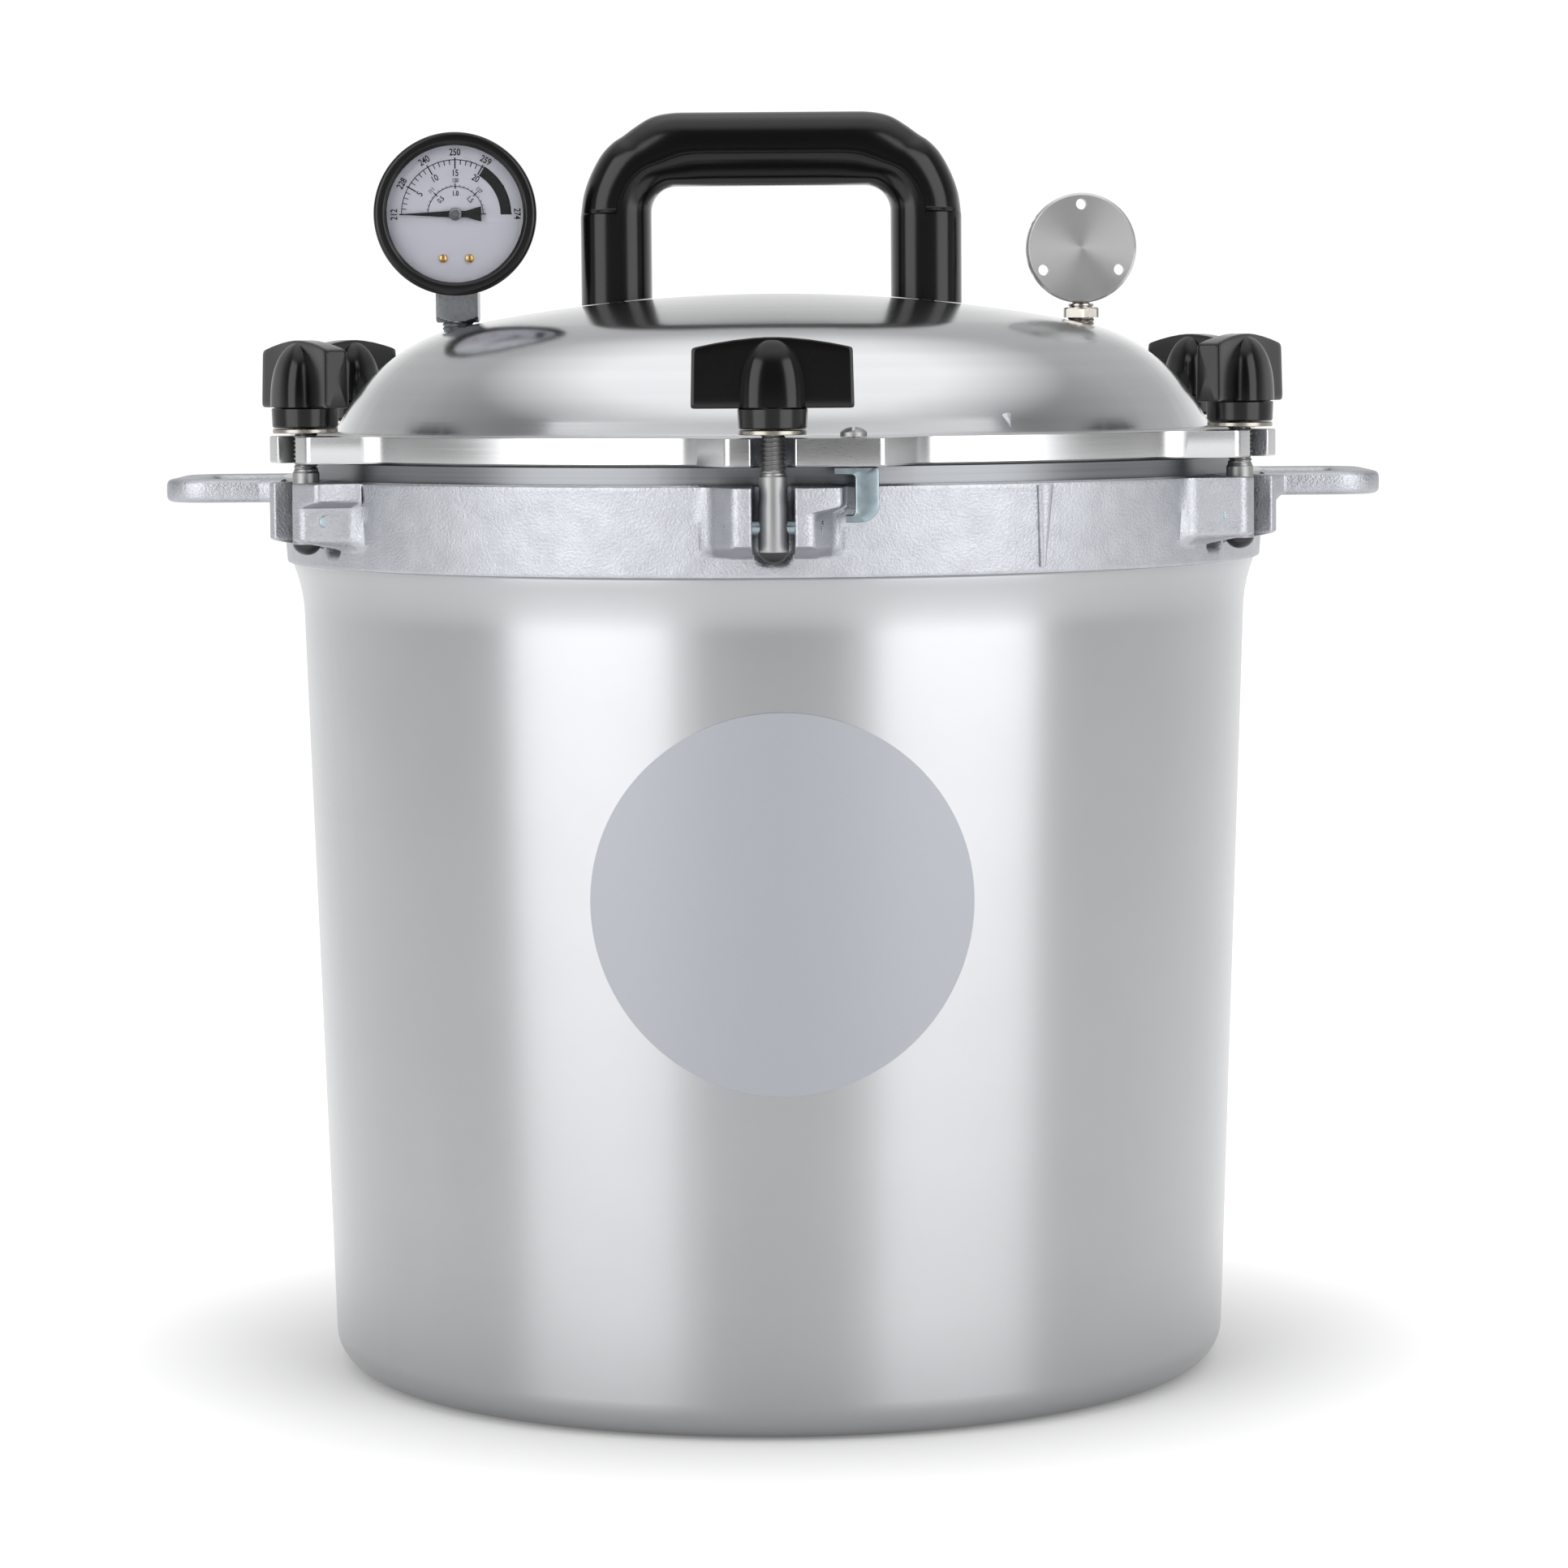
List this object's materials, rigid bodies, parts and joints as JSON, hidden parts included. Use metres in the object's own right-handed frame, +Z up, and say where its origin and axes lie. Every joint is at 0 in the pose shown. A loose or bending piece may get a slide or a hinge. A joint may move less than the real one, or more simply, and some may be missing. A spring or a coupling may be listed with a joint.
{
  "type": "pressure canner",
  "caption": "Large cast aluminium pressure canner with swing-bolt clamps, dial gauge, round pressure weight, arched top handle and a jar rack inside.",
  "frame": {"origin": "centre of the pot's flat base, on the surface it stands on", "axes": "+Z up along the pot's axis, +X to the side with the pressure weight and a side loop, -Y to the front where the gauge faces and the lock hook is"},
  "size_m": [0.4114, 0.374, 0.4285],
  "materials": {
    "cast_pot": "satin brushed wall, as-cast collar",
    "polished_lid": "spun and polished",
    "phenolic": "glossy black phenolic moulding",
    "machined_steel": "machined",
    "zinc_plate": "bright zinc plate",
    "brass": "machined brass",
    "stainless": "turned stainless",
    "gauge_black": "black painted case",
    "dial_face": "matt pale grey",
    "gauge_glass": "clear",
    "rubber": "matt black",
    "rack_sheet": "rolled sheet"
  },
  "bodies": {
    "pot": {"pot_body": "cast_pot", "clamp_pin_1": "zinc_plate", "clamp_pin_2": "zinc_plate", "clamp_pin_3": "zinc_plate", "clamp_pin_4": "zinc_plate", "clamp_pin_5": "zinc_plate", "clamp_pin_6": "zinc_plate"},
    "lid": {"lid": "polished_lid", "top_handle": "phenolic", "handle_screw_left": "machined_steel", "handle_screw_right": "machined_steel", "handle_washer_left": "zinc_plate", "handle_washer_right": "zinc_plate", "lock_hook": "zinc_plate", "hook_screw": "zinc_plate", "gauge_case": "gauge_black", "gauge_bezel": "gauge_black", "gauge_lens": "gauge_glass", "gauge_dial": "dial_face", "gauge_socket": "stainless", "bourdon_tube": "brass", "movement_plate": "brass", "dial_screw_left": "brass", "dial_screw_right": "brass", "vent_pipe": "stainless"},
    "clamp_bolt_1": {"clamp_bolt_1": "machined_steel"},
    "nut_washer_1": {"nut_washer_1": "machined_steel"},
    "wing_nut_1": {"wing_nut_1": "phenolic", "nut_insert_1": "brass"},
    "clamp_bolt_2": {"clamp_bolt_2": "machined_steel"},
    "nut_washer_2": {"nut_washer_2": "machined_steel"},
    "wing_nut_2": {"wing_nut_2": "phenolic", "nut_insert_2": "brass"},
    "clamp_bolt_3": {"clamp_bolt_3": "machined_steel"},
    "nut_washer_3": {"nut_washer_3": "machined_steel"},
    "wing_nut_3": {"wing_nut_3": "phenolic", "nut_insert_3": "brass"},
    "clamp_bolt_4": {"clamp_bolt_4": "machined_steel"},
    "nut_washer_4": {"nut_washer_4": "machined_steel"},
    "wing_nut_4": {"wing_nut_4": "phenolic", "nut_insert_4": "brass"},
    "clamp_bolt_5": {"clamp_bolt_5": "machined_steel"},
    "nut_washer_5": {"nut_washer_5": "machined_steel"},
    "wing_nut_5": {"wing_nut_5": "phenolic", "nut_insert_5": "brass"},
    "clamp_bolt_6": {"clamp_bolt_6": "machined_steel"},
    "nut_washer_6": {"nut_washer_6": "machined_steel"},
    "wing_nut_6": {"wing_nut_6": "phenolic", "nut_insert_6": "brass"},
    "gauge_sector": {"sector_gear": "brass"},
    "gauge_pointer": {"gauge_pointer": "gauge_black"},
    "pressure_weight": {"pressure_weight": "stainless"},
    "overpressure_plug": {"overpressure_plug": "rubber"},
    "jar_rack": {"jar_rack": "rack_sheet"}
  },
  "joints": [
    {"name": "lid_lift", "type": "slide", "parent": "pot", "child": "lid", "axis": [0, 0, 1], "range_m": [0, 0.15]},
    {"name": "clamp_1_swing", "type": "hinge", "parent": "pot", "child": "clamp_bolt_1", "pos_m": [0, -0.176, 0.2933], "axis": [1, 0, 0], "range_deg": [0, 150]},
    {"name": "wing_nut_1_rise", "type": "slide", "parent": "clamp_bolt_1", "child": "nut_washer_1", "axis": [0, 0, 1], "range_m": [0, 0.15]},
    {"name": "wing_nut_1_turn", "type": "hinge", "parent": "nut_washer_1", "child": "wing_nut_1", "pos_m": [0, -0.176, 0.33], "axis": [0, 0, 1], "range_deg": [0, 720]},
    {"name": "clamp_2_swing", "type": "hinge", "parent": "pot", "child": "clamp_bolt_2", "pos_m": [0.15242, -0.088, 0.2933], "axis": [0.5, 0.866, 0], "range_deg": [0, 150]},
    {"name": "wing_nut_2_rise", "type": "slide", "parent": "clamp_bolt_2", "child": "nut_washer_2", "axis": [0, 0, 1], "range_m": [0, 0.15]},
    {"name": "wing_nut_2_turn", "type": "hinge", "parent": "nut_washer_2", "child": "wing_nut_2", "pos_m": [0.15242, -0.088, 0.33], "axis": [0, 0, 1], "range_deg": [0, 720]},
    {"name": "clamp_3_swing", "type": "hinge", "parent": "pot", "child": "clamp_bolt_3", "pos_m": [0.15242, 0.088, 0.2933], "axis": [-0.5, 0.866, 0], "range_deg": [0, 150]},
    {"name": "wing_nut_3_rise", "type": "slide", "parent": "clamp_bolt_3", "child": "nut_washer_3", "axis": [0, 0, 1], "range_m": [0, 0.15]},
    {"name": "wing_nut_3_turn", "type": "hinge", "parent": "nut_washer_3", "child": "wing_nut_3", "pos_m": [0.15242, 0.088, 0.33], "axis": [0, 0, 1], "range_deg": [0, 720]},
    {"name": "clamp_4_swing", "type": "hinge", "parent": "pot", "child": "clamp_bolt_4", "pos_m": [0, 0.176, 0.2933], "axis": [-1, 0, 0], "range_deg": [0, 150]},
    {"name": "wing_nut_4_rise", "type": "slide", "parent": "clamp_bolt_4", "child": "nut_washer_4", "axis": [0, 0, 1], "range_m": [0, 0.15]},
    {"name": "wing_nut_4_turn", "type": "hinge", "parent": "nut_washer_4", "child": "wing_nut_4", "pos_m": [0, 0.176, 0.33], "axis": [0, 0, 1], "range_deg": [0, 720]},
    {"name": "clamp_5_swing", "type": "hinge", "parent": "pot", "child": "clamp_bolt_5", "pos_m": [-0.15242, 0.088, 0.2933], "axis": [-0.5, -0.866, 0], "range_deg": [0, 150]},
    {"name": "wing_nut_5_rise", "type": "slide", "parent": "clamp_bolt_5", "child": "nut_washer_5", "axis": [0, 0, 1], "range_m": [0, 0.15]},
    {"name": "wing_nut_5_turn", "type": "hinge", "parent": "nut_washer_5", "child": "wing_nut_5", "pos_m": [-0.15242, 0.088, 0.33], "axis": [0, 0, 1], "range_deg": [0, 720]},
    {"name": "clamp_6_swing", "type": "hinge", "parent": "pot", "child": "clamp_bolt_6", "pos_m": [-0.15242, -0.088, 0.2933], "axis": [0.5, -0.866, 0], "range_deg": [0, 150]},
    {"name": "wing_nut_6_rise", "type": "slide", "parent": "clamp_bolt_6", "child": "nut_washer_6", "axis": [0, 0, 1], "range_m": [0, 0.15]},
    {"name": "wing_nut_6_turn", "type": "hinge", "parent": "nut_washer_6", "child": "wing_nut_6", "pos_m": [-0.15242, -0.088, 0.33], "axis": [0, 0, 1], "range_deg": [0, 720]},
    {"name": "gauge_sector_turn", "type": "hinge", "parent": "lid", "child": "gauge_sector", "pos_m": [-0.09538, 0.002, 0.38738], "axis": [0, -1, 0], "range_deg": [0, 30], "stiffness_Nm_per_rad": 0.0005},
    {"name": "gauge_pointer_turn", "type": "hinge", "parent": "lid", "child": "gauge_pointer", "pos_m": [-0.1075, 0, 0.39438], "axis": [0, 1, 0], "range_deg": [0, 180]},
    {"name": "weight_lift", "type": "slide", "parent": "lid", "child": "pressure_weight", "axis": [0, 0, 1], "range_m": [0, 0.03]},
    {"name": "plug_pop", "type": "slide", "parent": "lid", "child": "overpressure_plug", "axis": [0, 0, 1], "range_m": [0, 0.012]},
    {"name": "rack_lift", "type": "slide", "parent": "pot", "child": "jar_rack", "axis": [0, 0, 1], "range_m": [0, 0.25]}
  ],
  "couplings": [
    {"joint": "wing_nut_1_rise", "follows": "lid_lift", "ratio": 1},
    {"joint": "wing_nut_2_rise", "follows": "lid_lift", "ratio": 1},
    {"joint": "wing_nut_3_rise", "follows": "lid_lift", "ratio": 1},
    {"joint": "wing_nut_4_rise", "follows": "lid_lift", "ratio": 1},
    {"joint": "wing_nut_5_rise", "follows": "lid_lift", "ratio": 1},
    {"joint": "wing_nut_6_rise", "follows": "lid_lift", "ratio": 1},
    {"joint": "gauge_pointer_turn", "follows": "gauge_sector_turn", "ratio": 6}
  ]
}
